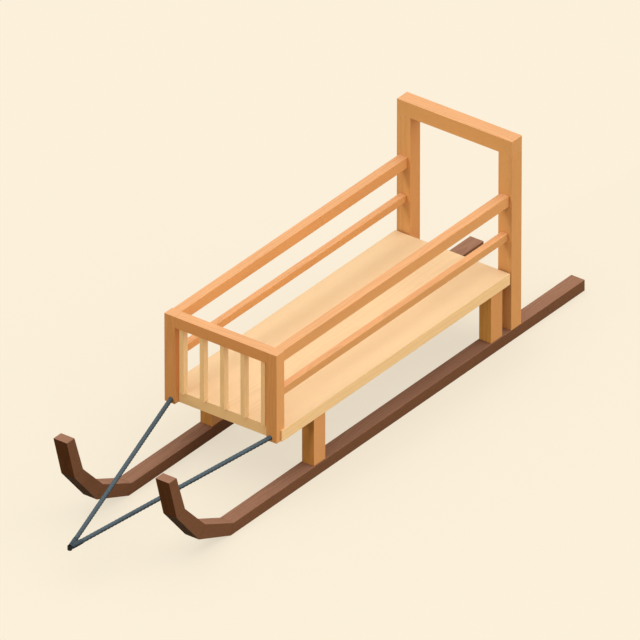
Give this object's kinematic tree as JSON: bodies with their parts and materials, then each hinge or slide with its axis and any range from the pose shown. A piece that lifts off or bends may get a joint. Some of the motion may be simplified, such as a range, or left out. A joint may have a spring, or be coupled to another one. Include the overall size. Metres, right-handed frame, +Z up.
{
  "type": "wooden dog sled",
  "caption": "Wooden dog sled: a railed basket and bed on stanchions over upturned runners, with a rear handle bow and a front rope bridle that ends in a tow eye.",
  "frame": {"origin": "on the ground, under the middle of the whole sled's bounding box", "axes": "+Z up, -Y forward, the way the sled is pulled, +Y towards the driver, +X to the sled's left"},
  "size_m": [0.578, 3.07, 0.935],
  "materials": {
    "frame_wood": "satin",
    "deck_wood": "satin",
    "runner_wood": "satin",
    "tow_rope": "matte",
    "eye_steel": "satin"
  },
  "bodies": {
    "root": {"bed": "deck_wood", "crosspiece_bow": "frame_wood", "front_rail": "frame_wood", "handlebar": "frame_wood", "tow_eye": "eye_steel", "crosspiece_front": "frame_wood", "crosspiece_rear": "frame_wood", "stanchion_front_left": "frame_wood", "stanchion_front_right": "frame_wood", "stanchion_rear_left": "frame_wood", "stanchion_rear_right": "frame_wood", "slat_1": "deck_wood", "slat_2": "deck_wood", "slat_3": "deck_wood", "slat_4": "deck_wood", "slat_5": "deck_wood", "runner_left": "runner_wood", "runner_right": "runner_wood", "corner_post_left": "frame_wood", "corner_post_right": "frame_wood", "top_rail_left": "frame_wood", "top_rail_right": "frame_wood", "lower_rail_left": "frame_wood", "lower_rail_right": "frame_wood", "upright_left": "frame_wood", "upright_right": "frame_wood", "tow_line_left": "tow_rope", "tow_line_right": "tow_rope"}
  },
  "joints": []
}
